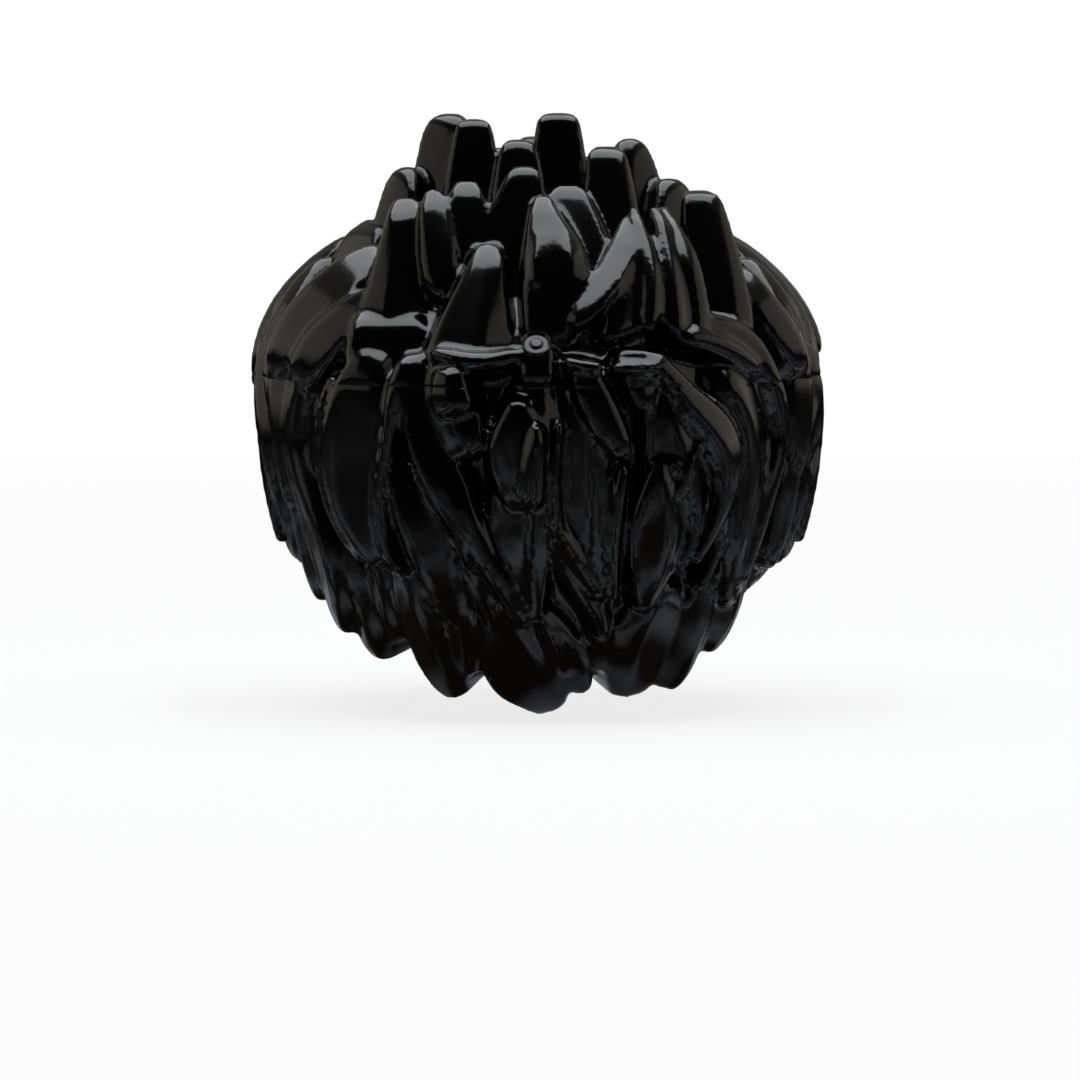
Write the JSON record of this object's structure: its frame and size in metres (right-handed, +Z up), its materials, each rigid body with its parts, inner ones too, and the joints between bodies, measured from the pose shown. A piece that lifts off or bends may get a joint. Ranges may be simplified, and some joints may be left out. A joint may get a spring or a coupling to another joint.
{
  "type": "toy figure hairpiece",
  "caption": "Tousled, spiky head of hair in glossy plastic that presses onto the stud of a toy figure's head.",
  "frame": {"origin": "bottom centre of the hairpiece's box, under the axis of the head it is worn on", "axes": "+Z up along the stud's axis, -Y towards the back of the head, +X to the right seen from the back"},
  "size_m": [0.0158, 0.0162, 0.0165],
  "materials": {
    "hair": "polished black moulding"
  },
  "bodies": {
    "root": {"bar_spike": "hair", "crown": "hair", "crown_leaf": "hair", "far_right_strip": "hair", "fringe_locks": "hair", "front_crown_spikes": "hair", "gate_lock": "hair", "left_crescent": "hair", "left_crown_spikes": "hair", "left_flank": "hair", "left_hem_inner": "hair", "left_hem_middle": "hair", "left_hem_outer": "hair", "left_leaf": "hair", "left_leaves": "hair", "left_ledge": "hair", "left_lobe": "hair", "left_panel": "hair", "left_ribbon": "hair", "left_shoulder": "hair", "left_side_locks": "hair", "left_spike": "hair", "left_stub": "hair", "left_sweep_high": "hair", "left_sweep_low": "hair", "left_swell": "hair", "left_under_locks": "hair", "nape_curl": "hair", "nape_hem": "hair", "nape_hem_sides": "hair", "nape_panel": "hair", "nape_slant": "hair", "nape_spike": "hair", "right_apron": "hair", "right_bundle": "hair", "right_crown_spikes": "hair", "right_curl": "hair", "right_fin": "hair", "right_flank": "hair", "right_hem_inner": "hair", "right_hem_middle": "hair", "right_hem_outer": "hair", "right_hook": "hair", "right_lobe": "hair", "right_panel": "hair", "right_post": "hair", "right_ripples": "hair", "right_shoulder": "hair", "right_side_locks": "hair", "right_slant": "hair", "right_spike": "hair", "right_strip": "hair", "right_sweep": "hair", "right_sweep_high": "hair", "right_under_locks": "hair", "skirt": "hair", "tall_spike": "hair", "top_spikes_left": "hair", "top_spikes_right": "hair"}
  },
  "joints": []
}
